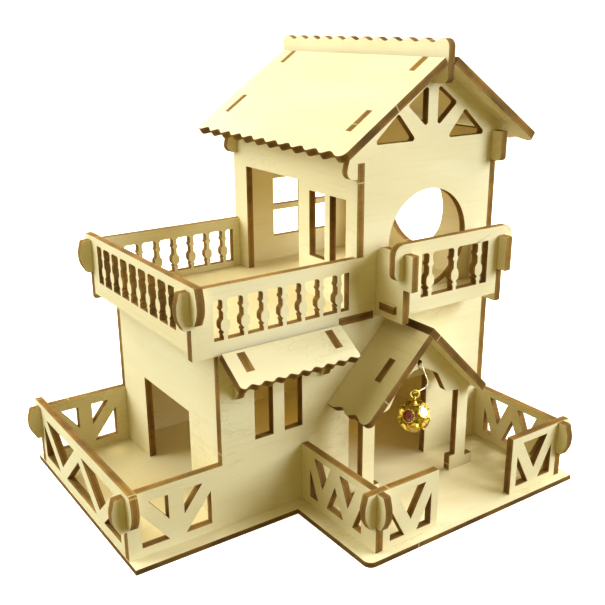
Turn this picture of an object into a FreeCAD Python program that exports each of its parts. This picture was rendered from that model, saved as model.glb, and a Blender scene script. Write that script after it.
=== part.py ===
"""A small wooden house for a dwarf hamster, pressed together from laser-cut plywood boards.

X runs to the right along the facade, Y runs to the back, Z runs up. The house is drawn from the
corner where the facade's front face meets the outer face of the lower left wall, on the underside
of the base, and is moved at the end so that the origin is under the middle of the whole.
Every board is flat: it is an outline, with its openings, cut from one sheet. Boards that cross
are half lapped, and boards that stand on another one have tabs in its slots.
"""
import FreeCAD, Part
import os
from math import atan2, cos, degrees, radians, sin, tan

Vector = FreeCAD.Vector

# ---- sheets and joints (mm)
ply = 3.0                   # walls, rails, fences and roofs
base_thick = 2.0            # base board
play = 0.05                 # room on each side of a board in its slot
tab = 8.7                   # length of a tab that holds a wall in the base

# ---- ground plan
house_width = 127.9         # outer face of the lower left wall to outer face of the right wall
house_depth = 86.9          # front face of the facade to back face of the back wall
loft_inset = 58.55          # the upper left wall stands this far in from the lower one
terrace = 36.8              # lower left wall to the outer face of the terrace fence
balcony = 9.6               # lower left wall to the outer face of the balcony rail
porch_width = 94.3          # outer face of the porch's left fence to the house's right side
porch_depth = 44.1          # facade to the front face of the porch's front fence
base_left = 0.25            # how far the base board reaches past the fences and walls
base_front = 5.7
base_back = 4.8
base_right = 3.1
base_porch_side = 5.6
base_porch_front = 3.6
base_corner = 3.0           # radius of the base's corner at the porch

# ---- storeys
storey = 65.8               # base board to the underside of the upper floor
loft_wall = 62.7            # upper floor to the top of the loft's side walls
gable = 89.7                # upper floor to the underside of the roof at the ridge

# ---- fences and rails
fence = 24.6                # height of the terrace's front and back fence, on the base
terrace_fence = 26.4        # height of the terrace's side fence
porch_fence = 23.3          # height of the porch fences
fence_lap = 17.5            # height at which crossing fences are half lapped
brace = 5.0                 # width of the diagonal braces
fence_post = 5.8            # width of the middle post in the terrace's front and back fence
rail = 24.5                 # height of the balcony rail, from the underside of the floor
rail_lap = 18.2             # height at which the rails cross, from the underside of the floor
side_rail_rise = 1.8        # the side rail stands this much higher than the others
side_rail_low = 2.3         # and starts this much above the underside of the floor
ear = 4.8                   # how far the rounded ears reach past a corner
ear_height = 13.2           # from the top of the fence or rail down
ear_flat_low = 0.5          # shares of the reach that are flat below and above
ear_flat_top = 0.75
ear_corner = 0.8            # radius where the flat stretches end
ear_bulge = 8.0             # radius of the bulge between them

# ---- turned balusters, cut flat: half width at a height, for a baluster this high
baluster = 14.4
turned = ((0.8, 1.35), (1.3, 2.1, 0.4), (0.65, 2.75), (1.75, 3.9, 1.5), (1.75, 6.2, 1.6),
          (0.75, 7.4), (0.75, 9.7), (1.45, 10.7, 0.45), (0.9, 11.5))
cell_corner = 1.2           # radius of the upper corners between a baluster and the rail

# ---- facade
door_width = 39.9           # porch doorway, behind the porch's middle
door_height = 36.0
window_low = 30.6           # pair of windows under the awning, sill above the base
window_high = 56.5
window_width = 7.8
window_starts = (13.7, 26.3)
round_window = 19.7         # radius of the round window over the small balcony
round_window_rise = 23.7    # its centre above the upper floor
wall_lap_rise = 55.9        # the loft walls are half lapped into the gables at this height
gable_ear = 5.45            # the gables reach this far past the loft walls
gable_ear_low = 50.3        # underside of that ear above the upper floor
gable_ear_round = 3.0       # radius of its lower corner
truss_low = 61.7            # foot of the gable's triangles above the upper floor
truss_corner = 1.0
# corners of the two triangles on each side: share of the gable's half width, and of its height
truss = (((0.700, 0.0), (0.409, 0.368), (0.189, 0.0)),
         ((0.060, 0.707), (0.304, 0.457), (0.060, 0.154)))

# ---- main roof
gable_eave = 62.4           # underside of the roof at the gables' ears, above the upper floor
eave_overhang = 13.52       # loft wall to the eave's outer corner, level
roof_front = 8.6            # overhang in front of the facade
roof_back = 7.7
roof_scallops = 12
scallop_depth = 1.5
roof_slot_share = (0.595, 0.789)    # slots for the gables' tabs, as shares of the slope
roof_notch_share = 0.204    # the notch at the ridge, the same way
ridge_board_rise = 7.8      # top of the ridge board above the underside of the roof at the ridge
ridge_board_height = 15.3
ridge_front = 8.5
ridge_back = 9.8
ridge_lap = 4.0             # depth of the lap between ridge board and gable

# ---- walls
side_door = (0.280, 0.723)      # ground floor doorway in the left wall, as shares of the depth
loft_door = (0.429, 0.880)      # doorway from the loft to the balcony, the same way
loft_door_height = 45.0
loft_window_low = 16.4      # narrow loft windows, above the upper floor
loft_window_high = 41.9
loft_windows = ((0.078, 0.191), (0.230, 0.343))     # shares of the depth
wall_ear = 5.3              # the right wall's ears in front of and behind the gables
wall_ear_low = 51.2
wall_ear_top_round = 0.5    # radius of their upper and lower corners
wall_ear_low_round = 1.5
round_hole = 18.4           # radius of the round hole in the right wall
round_hole_share = 0.506    # its centre, as a share of the depth
round_hole_rise = 26.7
back_window_width = 32.8    # square window in the back wall
back_window_low = 10.6
back_window_high = 36.9
muntin = 2.4                # width of the window's glazing bars

# ---- balcony rail openings
rail_margins = (1.2, 3.35)      # first and last edge past the lower wall, and short of the loft wall
side_rail_margins = (10.9, 8.9)
rail_sill = 5.4             # openings start this high above the underside of the floor
side_rail_sill = 8.1
balusters = 7
side_balusters = 8
floor_tab_reach = (7.85, 8.15)  # the floor's tab in the facade, to each side of the loft wall's face

# ---- awning
awning_left = 0.4
awning_right = 50.2
awning_pitch = 33.5         # degrees
awning_reach = 15.3         # length down the slope
awning_rise = 2.4           # its top edge above the underside of the floor, less its thickness
awning_corner = 2.0
awning_notches = 9
awning_notch_pitch = 5.1
awning_scallop = 1.0
bracket_starts = (5.6, 42.4)
bracket_reach = 12.3        # length of the brackets' upper edge, down the slope
bracket_foot = 51.0         # lowest point of the brackets above the underside of the base
bracket_slot = (1.25, 9.17)     # along the awning's slope

# ---- porch front and its roof
porch_centre = 42.2         # porch's left fence to its middle
porch_front_face = 16.9     # facade to the porch front's front face
post_inner = 21.0           # the porch's middle to the posts
post_outer = 26.6
foot_inner = 18.1
foot_outer = 30.6
foot_height = 6.3
foot_step = 4.3             # height of the foot on its outer side
arch_spring = 34.7          # above the base
arch_top = 50.0
hook_hole = 1.05            # radius
hook_hole_rise = 51.1
porch_roof_top = 66.8       # outer ridge line above the base
porch_pitch = 45.0          # degrees
porch_roof_reach = 30.6
porch_roof_front = 23.8
porch_scallops = 3
porch_slot = (17.0, 26.9)   # along the slope, from the ridge
porch_gable = 28.1          # half width of the porch's gable

# ---- small balcony
nook_width = 50.7           # outer faces of its side boards
nook_depth = 15.4           # facade to the front board's front face
nook_rise = 1.4             # its side boards start this much above the underside of the floor
nook_side = 26.6            # height of the side boards
nook_front_rise = 4.7
nook_front_high = 26.9
nook_floor_rise = 4.4
nook_lap = 19.0             # where front and side boards are lapped, from the floor's underside
nook_ear = 4.4              # reach of all four boards' ends past the laps
nook_ear_drop = 4.5         # how far the side boards' ears hang below the lap
nook_ear_round = 0.4        # radius of their corners
nook_front_drop = 0.8       # the same drop and radius for the front board's ends
nook_front_round = 3.0
nook_opening = 33.7         # width of the row of openings in its front board
nook_sill = 5.5
nook_head = 21.9
nook_balusters = 3
nook_pitch = 12.4
nook_corner = 4.0           # radius of the side and front boards' upper corners
nook_tab_start = 3.6        # the floor's tabs start this far behind the front board's face
nook_tab_end = 3.5          # and end this far in front of the facade

# ---- porch fences
left_panel = 28.2           # lengths of the two front fences beside the way in
right_panel = 28.6

# ---- hanging ornament
wire = 0.35                 # radius of the hook's wire
ball = 5.5                  # radius of the bauble
ball_drop = 20.7            # hook hole to the ball's centre
hook_rest = 0.4             # the wire lies this much below the middle of its hole
hook_bends = ((4.5, 10.0), (-0.6, 11.0), (-3.7, 11.0))    # to the right of the hole, below it
hook_tail = 3.0             # length of wire that hangs behind the porch front
hook_lean = 2.7             # how far the ball hangs to the left of the hole
hook_front = 1.0            # how far the wire stands in front of the porch front
ring = 1.6                  # radius of the ring's wire circle
ring_wire = 0.28
ring_turn = 34.5            # degrees the ring is turned from facing straight ahead
eye = 0.95                  # the loop on the bauble
eye_wire = 0.25
stone = 1.9                 # radius of a cut stone
stone_height = 0.9
stones_in_row = 5           # stones in each of the bauble's two rows
stone_rows = ((26, -151), (-32, -142))    # degrees above the middle, and round to a row's first stone

# ---- levels and places that follow from the sizes above
ground = base_thick
floor_low = ground + storey
floor_top = floor_low + ply
wall_top = floor_top + loft_wall
peak = floor_top + gable
middle = (loft_inset + house_width) / 2
left_wall = 0.0
right_wall = house_width - ply
back = house_depth - ply
porch_left = house_width - porch_width
porch_middle = porch_left + porch_centre
fence_mid = ground + fence_lap
rail_mid = floor_low + rail_lap
wall_mid = floor_top + wall_lap_rise
nook_left = middle - nook_width / 2
nook_right = middle + nook_width / 2 - ply
nook_front = -nook_depth
porch_board = -porch_front_face
porch_fence_front = -porch_depth

half_gable = middle - loft_inset + gable_ear
roof_pitch = degrees(atan2(gable - gable_eave, half_gable))
slope_cos = cos(radians(roof_pitch))
slope_sin = sin(radians(roof_pitch))
roof_apex = peak + ply / slope_cos      # where the outer faces of the main roof would meet
roof_length = (middle - loft_inset + eave_overhang) / slope_cos
roof_slot_low = (roof_length * roof_slot_share[0], roof_length * roof_slot_share[1])
roof_slot_top = roof_length * roof_notch_share
floor_tab = (loft_inset - floor_tab_reach[0], loft_inset + floor_tab_reach[1])

axes = {"x": Vector(1, 0, 0), "y": Vector(0, 1, 0), "z": Vector(0, 0, 1)}


# ---------------------------------------------------------------- how boards are made
def spot(normal, level, a, b):
    """A point of the plane that stands square to an axis: a, b are the other two axes."""
    if normal == "x":
        return Vector(level, a, b)
    if normal == "y":
        return Vector(a, level, b)
    return Vector(a, b, level)


def outline(normal, level, corners):
    """A closed wire through (a, b) corners. A third value is the corner's radius."""
    count = len(corners)
    points = [spot(normal, level, corner[0], corner[1]) for corner in corners]
    lengths = [(points[(i + 1) % count] - points[i]).Length for i in range(count)]
    bends = []
    for i in range(count):
        back_way = (points[i - 1] - points[i]).normalize()
        on_way = (points[(i + 1) % count] - points[i]).normalize()
        half = back_way.getAngle(on_way) / 2
        radius = corners[i][2] if len(corners[i]) > 2 else 0.0
        bends.append((back_way, on_way, half, radius / tan(half)))
    reach = [bend[3] for bend in bends]
    limited = []
    for i in range(count):
        before = lengths[i - 1] / max(reach[i - 1] + reach[i], lengths[i - 1])
        after = lengths[i] / max(reach[i] + reach[(i + 1) % count], lengths[i])
        limited.append(reach[i] * min(before, after))
    edges = []
    for i in range(count):
        back_way, on_way, half, _ = bends[i]
        start = points[i] + back_way * limited[i]
        end = points[i] + on_way * limited[i]
        if limited[i] > 1e-6:
            depth = limited[i] * (1 / cos(half) - tan(half))
            crown = points[i] + (back_way + on_way).normalize() * depth
            edges.append(Part.Arc(start, crown, end).toShape())
        far = (i + 1) % count
        onward = points[far] + bends[far][0] * limited[far]
        if (onward - end).Length > 1e-6:
            edges.append(Part.LineSegment(end, onward).toShape())
    return Part.Wire(edges)


def board(normal, level, corners, openings=(), thick=ply):
    """A flat board from level to level + thick, with its openings."""
    wires = [outline(normal, level, corners)]
    for opening in openings:
        wires.append(outline(normal, level, opening))
    face = Part.makeFace(wires, "Part::FaceMakerBullseye")
    return face.extrude(axes[normal] * thick)


def disc(a, b, radius):
    """Corners of a round opening."""
    return [(a + i * radius, b + j * radius, radius) for i, j in ((-1, -1), (1, -1), (1, 1), (-1, 1))]


def rectangle(a_low, a_high, b_low, b_high):
    return [(a_low, b_low), (a_high, b_low), (a_high, b_high), (a_low, b_high)]


def block(x_low, x_high, y_low, y_high, z_low, z_high):
    corner = Vector(x_low, y_low, z_low)
    return Part.makeBox(x_high - x_low, y_high - y_low, z_high - z_low, corner)


def half_lap(lower, upper, x, y, level):
    """Notch two boards that cross at x, y: one keeps the part below the level, one the part above."""
    deep = 500.0
    sides = (x - play, x + ply + play, y - play, y + ply + play)
    lower_cut = lower.cut(block(*sides, level, level + deep))
    upper_cut = upper.cut(block(*sides, level - deep, level))
    return lower_cut, upper_cut


def wave(start, end, edge, depth, count):
    """Corners of a scalloped edge, lobes outwards: (along, across) from start to end."""
    pitch = (end - start) / count
    bend = abs(pitch) / 3
    corners = [(start, edge, bend)]
    for i in range(count):
        if i:
            corners.append((start + i * pitch, edge - 1.3 * depth, bend))
        crest = edge + 0.3 * depth if 0 < i < count - 1 else edge
        corners.append((start + (i + 0.5) * pitch, crest, bend))
    corners.append((end, edge, bend))
    return corners


# ---------------------------------------------------------------- fences and rails
def ear_corners(end, side, high):
    """A rounded ear past a board's end, upwards: flat below and above, and bulging between."""
    low = high - ear_height
    third = ear_height / 3
    return [(end, low), (end + side * ear * ear_flat_low, low, ear_corner),
            (end + side * ear, low + third, ear_bulge), (end + side * ear, high - third, ear_bulge),
            (end + side * ear * ear_flat_top, high, ear_corner)]


def eared(start, end, low, high, ears=(-1, 1)):
    """A fence or rail with a rounded ear past its start (-1), its end (1) or both."""
    corners = [(start, low), (end, low)]
    corners += ear_corners(end, 1, high) if 1 in ears else [(end, high)]
    corners += ear_corners(start, -1, high)[::-1] if -1 in ears else [(start, high)]
    return corners


def braced(start, end, low, high, valleys, post=0.0):
    """Triangles left between zigzag braces in a fence, with a post in the middle if it has one."""
    step = (end - start) / (2 * valleys)
    rise = high - low
    across = brace / 2 / sin(FreeCAD.Base.Vector(step, rise, 0).getAngle(Vector(1, 0, 0)))
    slope = rise / step
    openings = []
    for i in range(valleys + 1):
        crest = start + 2 * i * step
        foot_left = max(crest - step + across, start)
        foot_right = min(crest + step - across, end)
        top = high - slope * across
        triangle = []
        if foot_left < crest:
            triangle.append((foot_left, low))
        if foot_right > crest:
            triangle.append((foot_right, low))
        triangle.append((crest, top))
        if foot_left >= crest or foot_right <= crest:
            triangle.append((crest, low))
        openings.append(triangle)
    for i in range(valleys):
        valley = start + (2 * i + 1) * step
        left = valley - step + across
        right = valley + step - across
        point = low + slope * across
        if post:
            post_level = point + slope * post / 2
            openings.append([(left, high), (valley - post / 2, high), (valley - post / 2, post_level)])
            openings.append([(right, high), (valley + post / 2, high), (valley + post / 2, post_level)])
        else:
            openings.append([(left, high), (right, high), (valley, point)])
    return openings


def baluster_side(centre, side, low, high):
    """One side of a baluster, upwards, rounded where it meets the rail above."""
    size = (high - low) / baluster
    stem = turned[0][0] * size
    corners = [(centre + side * stem, low)]
    for corner in turned:
        radius = corner[2] * size if len(corner) > 2 else 0.0
        corners.append((centre + side * corner[0] * size, low + corner[1] * size, radius))
    corners.append((centre + side * stem, high, cell_corner))
    return corners


def turned_openings(start, end, low, high, count, pitch):
    """The openings between balusters that stand evenly about the middle of the row."""
    first = (start + end) / 2 - pitch * (count - 1) / 2
    openings = []
    for i in range(count + 1):
        if i == 0:
            left_side = [(start, low), (start, high)]
        else:
            left_side = baluster_side(first + (i - 1) * pitch, 1, low, high)
        if i == count:
            right_side = [(end, low), (end, high)]
        else:
            right_side = baluster_side(first + i * pitch, -1, low, high)
        openings.append(left_side[::-1] + right_side)
    return openings


# ---------------------------------------------------------------- roofs
def roof_point(apex_x, apex_z, pitch, side, down, inwards):
    """A point of a sloped board: its way down the slope from the ridge and its depth inwards."""
    along = radians(pitch)
    x = apex_x + side * (down * cos(along) - inwards * sin(along))
    return x, apex_z - down * sin(along) - inwards * cos(along)


def main_roof_point(side, down, inwards):
    return roof_point(middle, roof_apex, roof_pitch, side, down, inwards)


def sloped_board(corners, apex_x, apex_z, pitch, side, slots=()):
    """A roof board, drawn flat as (down the slope, y), then tilted about the ridge line."""
    flat = board("z", -ply, corners, slots)
    flat.rotate(Vector(0, 0, 0), Vector(0, 1, 0), pitch)
    if side < 0:
        flat = flat.mirror(Vector(0, 0, 0), Vector(1, 0, 0))
    flat.translate(Vector(apex_x, 0, apex_z))
    return flat


# the board's upper end, cut square, meets the ridge board with its lower edge
roof_top_end = (ply / 2 + ply * slope_sin) / slope_cos


def main_roof(side):
    front = -roof_front
    rear = house_depth + roof_back
    corners = [(roof_top_end, front)]
    edge = wave(front, rear, roof_length, scallop_depth, roof_scallops)
    corners += [(down, y, radius) for y, down, radius in edge]
    corners += [(roof_top_end, rear)]
    slots = []
    for y in (0.0, back):
        slots.append(rectangle(roof_slot_low[0] - play, roof_slot_low[1] + play, y - play, y + ply + play))
    panel = sloped_board(corners, middle, roof_apex, roof_pitch, side, slots)
    for y in (0.0, back):
        notch = rectangle(0.0, roof_slot_top + play, y - play, y + ply + play)
        panel = panel.cut(sloped_board(notch, middle, roof_apex, roof_pitch, side))
    return panel


def ridge_board():
    high = peak + ridge_board_rise
    low = high - ridge_board_height
    front = -ridge_front
    rear = house_depth + ridge_back
    corners = [(front, low, 2.0), (rear, low, 2.0)]
    corners += wave(rear, front, high, scallop_depth * 0.8, roof_scallops)
    return board("x", middle - ply / 2, corners)


# ---------------------------------------------------------------- gable walls
def gable_slope(side):
    """The sloped edge of a gable with its tabs, from the eave end up to the ridge."""
    ear_end = loft_inset - gable_ear
    down = (middle - ear_end - ply * slope_sin) / slope_cos
    stops = [(down, ply), (roof_slot_low[1], ply), (roof_slot_low[1], 0.0), (roof_slot_low[0], 0.0),
             (roof_slot_low[0], ply), (roof_slot_top, ply), (roof_slot_top, 0.0),
             (roof_top_end, 0.0), (roof_top_end, ply)]
    return [main_roof_point(side, stop, inwards) for stop, inwards in stops]


def end_wall_corners():
    """The outline that facade and back wall share: fence, lower wall, rail and gable."""
    gable_left = loft_inset - gable_ear
    gable_right = house_width + gable_ear
    ear_level = floor_top + gable_ear_low
    corners = [(-terrace, ground), (right_wall, ground), (right_wall, ear_level)]
    corners += [(gable_right, ear_level, gable_ear_round)]
    corners += gable_slope(1)
    corners += gable_slope(-1)[::-1]
    corners += [(gable_left, ear_level, gable_ear_round), (loft_inset, ear_level)]
    corners += [(loft_inset, floor_low + rail)]
    corners += ear_corners(-balcony, -1, floor_low + rail)[::-1]
    corners += [(-balcony, floor_low), (left_wall, floor_low), (left_wall, ground + fence)]
    corners += ear_corners(-terrace, -1, ground + fence)[::-1]
    return corners


def end_wall_rails():
    """Openings of the fence and of the balcony rail, alike in facade and back wall."""
    margin = 5.0
    openings = braced(margin - terrace, -margin, ground + 3.3, ground + fence - 4.2, 1, fence_post)
    start = left_wall - rail_margins[0]
    end = loft_inset - rail_margins[1]
    low = floor_low + rail_sill
    pitch = (end - start) / (balusters + 0.14)
    openings += turned_openings(start, end, low, low + baluster, balusters, pitch)
    return openings


def gable_triangles():
    """Rounded triangles of the gable, alike on both sides of the ridge."""
    low = floor_top + truss_low
    rise = peak - low
    openings = []
    for side in (-1, 1):
        for triangle in truss:
            openings.append([(middle + side * a * half_gable, low + b * rise, truss_corner)
                             for a, b in triangle])
    return openings


def notch_for_loft_walls(sheet, y):
    """Slots in a gable for the upper left wall and the right wall, open downwards."""
    for x in (loft_inset, right_wall):
        low = floor_low + rail if x == loft_inset else ground
        sheet = sheet.cut(block(x - play, x + ply + play, y - play, y + ply + play, low, wall_mid))
    return sheet


def facade():
    openings = end_wall_rails() + gable_triangles()
    openings.append(disc(middle, floor_top + round_window_rise, round_window))
    for start in window_starts:
        openings.append(rectangle(start, start + window_width, ground + window_low, ground + window_high))
    sheet = board("y", 0.0, end_wall_corners(), openings)
    sheet = sheet.cut(block(porch_middle - door_width / 2, porch_middle + door_width / 2,
                            -1, ply + 1, 0, ground + door_height))
    sheet = sheet.cut(block(floor_tab[0] - play, floor_tab[1] + play, -1, ply + 1,
                            floor_low - play, floor_top + play))
    for x in (nook_left, nook_right):
        low = floor_low + nook_rise + 8.0
        sheet = sheet.cut(block(x - play, x + ply + play, -1, ply + 1, low - play, low + tab + play))
    for start in bracket_starts:
        low = bracket_foot + 5.0
        sheet = sheet.cut(block(start - play, start + ply + play, -1, ply + 1, low - play, low + 4.0 + play))
    return notch_for_loft_walls(sheet, 0.0)


def back_wall():
    openings = end_wall_rails() + gable_triangles()
    window_left = middle - back_window_width / 2
    window_right = middle + back_window_width / 2
    low = floor_top + back_window_low
    high = floor_top + back_window_high
    cross = (low + high) / 2
    panes = ((window_left, middle - muntin / 2), (middle + muntin / 2, window_right))
    for pane_left, pane_right in panes:
        openings.append(rectangle(pane_left, pane_right, low, cross - muntin / 2))
        openings.append(rectangle(pane_left, pane_right, cross + muntin / 2, high))
    sheet = board("y", back, end_wall_corners(), openings)
    sheet = sheet.cut(block(floor_tab[0] - play, floor_tab[1] + play, back - 1, house_depth + 1,
                            floor_low - play, floor_top + play))
    return notch_for_loft_walls(sheet, back)


# ---------------------------------------------------------------- tabs in the base
def with_tabs(sheet, base, normal, level, centres, length=tab):
    """Tabs under a standing board, and their slots in the base."""
    for centre in centres:
        low = centre - length / 2
        high = centre + length / 2
        if normal == "x":
            foot = block(level, level + ply, low, high, 0, ground)
            slot = block(level - play, level + ply + play, low - play, high + play, -1, ground + 1)
        else:
            foot = block(low, high, level, level + ply, 0, ground)
            slot = block(low - play, high + play, level - play, level + ply + play, -1, ground + 1)
        sheet = sheet.fuse(foot)
        base = base.cut(slot)
    return sheet.removeSplitter(), base


def base_board():
    left = -terrace - base_left
    right = house_width + base_right
    porch_side = porch_left - base_porch_side
    porch_edge = -porch_depth - base_porch_front
    corners = [(left, -base_front), (porch_side, -base_front), (porch_side, porch_edge, base_corner),
               (right, porch_edge), (right, house_depth + base_back), (left, house_depth + base_back)]
    return board("z", 0.0, corners, thick=base_thick)


# ---------------------------------------------------------------- side walls and floors
def right_side():
    """The right wall and the porch's right fence, one sheet."""
    top = ground + porch_fence
    ear_level = floor_top + wall_ear_low
    corners = [(porch_fence_front, ground), (house_depth, ground), (house_depth, ear_level)]
    corners += [(house_depth + wall_ear, ear_level, wall_ear_low_round)]
    corners += [(house_depth + wall_ear, wall_top, wall_ear_top_round)]
    corners += [(-wall_ear, wall_top, wall_ear_top_round), (-wall_ear, ear_level, wall_ear_low_round)]
    corners += [(0.0, ear_level), (0.0, top)] + ear_corners(porch_fence_front, -1, top)[::-1]
    openings = porch_side_openings()
    openings.append(disc(round_hole_share * house_depth, floor_top + round_hole_rise, round_hole))
    sheet = board("x", right_wall, corners, openings)
    # above the lap the gables run through
    for y in (0.0, back):
        sheet = sheet.cut(block(right_wall - 1, house_width + 1, y - play, y + ply + play, wall_mid, peak))
    return sheet


def porch_side_openings():
    margin = 5.65
    return braced(porch_fence_front + margin + 2.5, -margin, ground + 3.5, ground + porch_fence - 2.8, 2)


def lower_left():
    front, rear = [share * house_depth for share in side_door]
    corners = [(ply, ground), (front, ground), (front, ground + door_height), (rear, ground + door_height),
               (rear, ground), (back, ground), (back, floor_low), (ply, floor_low)]
    return board("x", left_wall, corners)


def upper_left():
    openings = []
    for start, end in loft_windows:
        openings.append(rectangle(start * house_depth, end * house_depth,
                                  floor_top + loft_window_low, floor_top + loft_window_high))
    front, rear = [share * house_depth for share in loft_door]
    door_top = floor_top + loft_door_height
    rail_top = floor_low + rail
    corners = [(ply, floor_top), (front, floor_top), (front, door_top),
               (rear, door_top), (rear, floor_top), (back, floor_top),
               (back, rail_top + play), (house_depth, rail_top + play), (house_depth, wall_mid - play),
               (back, wall_mid - play), (back, wall_top), (ply, wall_top), (ply, wall_mid - play),
               (0.0, wall_mid - play), (0.0, rail_top + play), (ply, rail_top + play)]
    return board("x", loft_inset, corners, openings)


def upper_floor():
    left = ply - balcony
    start, end = floor_tab
    corners = [(left, ply), (start, ply), (start, 0.0), (end, 0.0), (end, ply), (right_wall, ply),
               (right_wall, back), (end, back), (end, house_depth), (start, house_depth),
               (start, back), (left, back)]
    return board("z", floor_low, corners)


def side_rail():
    low = floor_low + side_rail_low
    high = floor_low + rail + side_rail_rise
    start = side_rail_margins[0]
    end = house_depth - side_rail_margins[1]
    sill = floor_low + side_rail_sill
    pitch = (end - start) / (side_balusters + 0.36)
    openings = turned_openings(start, end, sill, sill + baluster + 0.8, side_balusters, pitch)
    corners = eared(0.0, house_depth, low, high)
    return board("x", -balcony, corners, openings)


def terrace_side():
    margin = 6.0
    high = ground + terrace_fence
    openings = braced(margin, house_depth - margin, ground + 4.0, high - 5.0, 2)
    corners = eared(0.0, house_depth, ground, high)
    return board("x", -terrace, corners, openings)


# ---------------------------------------------------------------- porch
def porch_left_side():
    corners = eared(porch_fence_front, 0.0, ground, ground + porch_fence, (-1,))
    return board("x", porch_left, corners, porch_side_openings())


def porch_front_fence(start, end):
    """A front fence of the porch, with its ear on the outer side only."""
    margin = 3.3
    low = ground + 2.7
    high = ground + porch_fence - 3.0
    if start < porch_middle:
        openings = braced(start + ply + margin, end - margin, low, high, 1)
        ears = (-1,)
    else:
        openings = braced(start + margin, end - ply - margin, low, high, 1)
        ears = (1,)
    corners = eared(start, end, ground, ground + porch_fence, ears)
    return board("y", porch_fence_front, corners, openings)


def porch_roof_point(side, down, inwards):
    return roof_point(porch_middle, ground + porch_roof_top, porch_pitch, side, down, inwards)


def porch_front():
    """Posts with feet, the arch between them and the gable that carries the porch roof."""
    spring = ground + arch_spring
    arch = [(-post_inner, spring), (-14.2, spring + 0.9, 3.0), (-9.6, spring + 9.6, 2.5),
            (0.0, ground + arch_top, 9.0), (9.6, spring + 9.6, 2.5), (14.2, spring + 0.9, 3.0),
            (post_inner, spring)]
    feet = [(post_inner, ground + foot_height), (foot_inner, ground + foot_height), (foot_inner, ground),
            (foot_outer, ground), (foot_outer, ground + foot_step), (post_outer, ground + foot_step)]
    along = radians(porch_pitch)
    gable_foot = porch_roof_point(1, (porch_gable + ply * sin(along)) / cos(along), ply)
    stops = [porch_slot[1], porch_slot[0]]
    slope = [(gable_foot[0], gable_foot[1])]
    slope += [porch_roof_point(1, stops[0], ply), porch_roof_point(1, stops[0], 0.0)]
    slope += [porch_roof_point(1, stops[1], 0.0), porch_roof_point(1, stops[1], ply)]
    right = [(porch_middle + a, b) for a, b in feet]
    right += [(porch_middle + post_outer, gable_foot[1])] + slope
    left = [(2 * porch_middle - corner[0], corner[1]) for corner in right][::-1]
    top = [porch_roof_point(1, ply, ply)]
    opening = [(porch_middle + corner[0],) + tuple(corner[1:]) for corner in arch]
    hole = disc(porch_middle, ground + hook_hole_rise, hook_hole)
    return board("y", porch_board, opening + right + top + left, [hole])


def porch_roof(side):
    """The right board runs up to the ridge, the left one butts under it."""
    top_end = 0.0 if side > 0 else ply
    length = porch_roof_reach / cos(radians(porch_pitch))
    front = -porch_roof_front
    corners = [(top_end, front)]
    edge = wave(front, 0.0, length, scallop_depth, porch_scallops)
    corners += [(down, y, radius) for y, down, radius in edge]
    corners[-1] = (length, 0.0)
    corners += [(top_end, 0.0)]
    slot = rectangle(porch_slot[0] - play, porch_slot[1] + play,
                     porch_board - play, porch_board + ply + play)
    return sloped_board(corners, porch_middle, ground + porch_roof_top, porch_pitch, side, [slot])


# ---------------------------------------------------------------- awning
awning_top = floor_low + awning_rise - ply / cos(radians(awning_pitch))


def awning_shape(corners, slots=()):
    """An awning board, drawn flat as (x, down the slope), then tilted about its back edge."""
    flat = board("z", 0.0, [(corner[0], -corner[1]) + tuple(corner[2:]) for corner in corners],
                 [[(a, -b) for a, b in slot] for slot in slots])
    flat.rotate(Vector(0, 0, 0), Vector(1, 0, 0), awning_pitch)
    flat.translate(Vector(0, 0, awning_top))
    return flat


def awning():
    lobes = awning_notches + 1
    first = (awning_left + awning_right - awning_notch_pitch * lobes) / 2
    front = wave(first, first + awning_notch_pitch * lobes, awning_reach, awning_scallop, lobes)
    corners = [(awning_left, 0.0), (awning_left, awning_reach, awning_corner)]
    corners += front[1:-1]
    corners += [(awning_right, awning_reach, awning_corner), (awning_right, 0.0)]
    slots = [rectangle(start - play, start + ply + play, bracket_slot[0] - play, bracket_slot[1] + play)
             for start in bracket_starts]
    sheet = awning_shape(corners, slots)
    return sheet.cut(block(awning_left - 1, awning_right + 1, 0.0, ply * 2, floor_low - 9, floor_low + 9))


def awning_point(down, outwards):
    """A point (y, z) of the awning's section: down its slope, and out from its lower face."""
    along = radians(awning_pitch)
    y = -down * cos(along) - outwards * sin(along)
    return y, awning_top - down * sin(along) + outwards * cos(along)


def awning_bracket(start):
    """A bracket under the awning, with a tab up into the awning and one back into the wall."""
    tab_low = bracket_foot + 5.0
    tip = awning_point(bracket_slot[1], 0.0)
    wall_end = awning_point(0.0, 0.0)
    corners = [(0.0, tab_low), (ply, tab_low), (ply, tab_low + 4.0), (0.0, tab_low + 4.0), wall_end]
    corners += [awning_point(bracket_slot[0], 0.0), awning_point(bracket_slot[0], ply)]
    corners += [awning_point(bracket_slot[1], ply), tip]
    nose = awning_point(bracket_reach, 0.0)
    corners += [nose, (nose[0] + 0.8, nose[1] - 1.6, 0.8), (-3.0, bracket_foot + 3.0, 3.0),
                (-1.6, bracket_foot), (0.0, bracket_foot)]
    return board("x", start, corners)


# ---------------------------------------------------------------- small balcony
def nook_side_board(x):
    low = floor_low + nook_rise
    ear_level = floor_low + nook_lap - nook_ear_drop
    wall_tab = low + 8.0
    high = low + nook_side
    corners = [(nook_front, low), (0.0, low), (0.0, wall_tab), (ply, wall_tab), (ply, wall_tab + tab),
               (0.0, wall_tab + tab), (0.0, high, nook_corner), (nook_front - nook_ear, high, nook_ear_round),
               (nook_front - nook_ear, ear_level, nook_ear_round), (nook_front, ear_level)]
    sheet = board("x", x, corners)
    low = floor_low + nook_floor_rise
    slot = block(x - 1, x + ply + 1, nook_floor_tab[0] - play, nook_floor_tab[1] + play,
                 low - play, low + ply + play)
    return sheet.cut(slot)


nook_floor_tab = (nook_front + nook_tab_start, -nook_tab_end)


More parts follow.
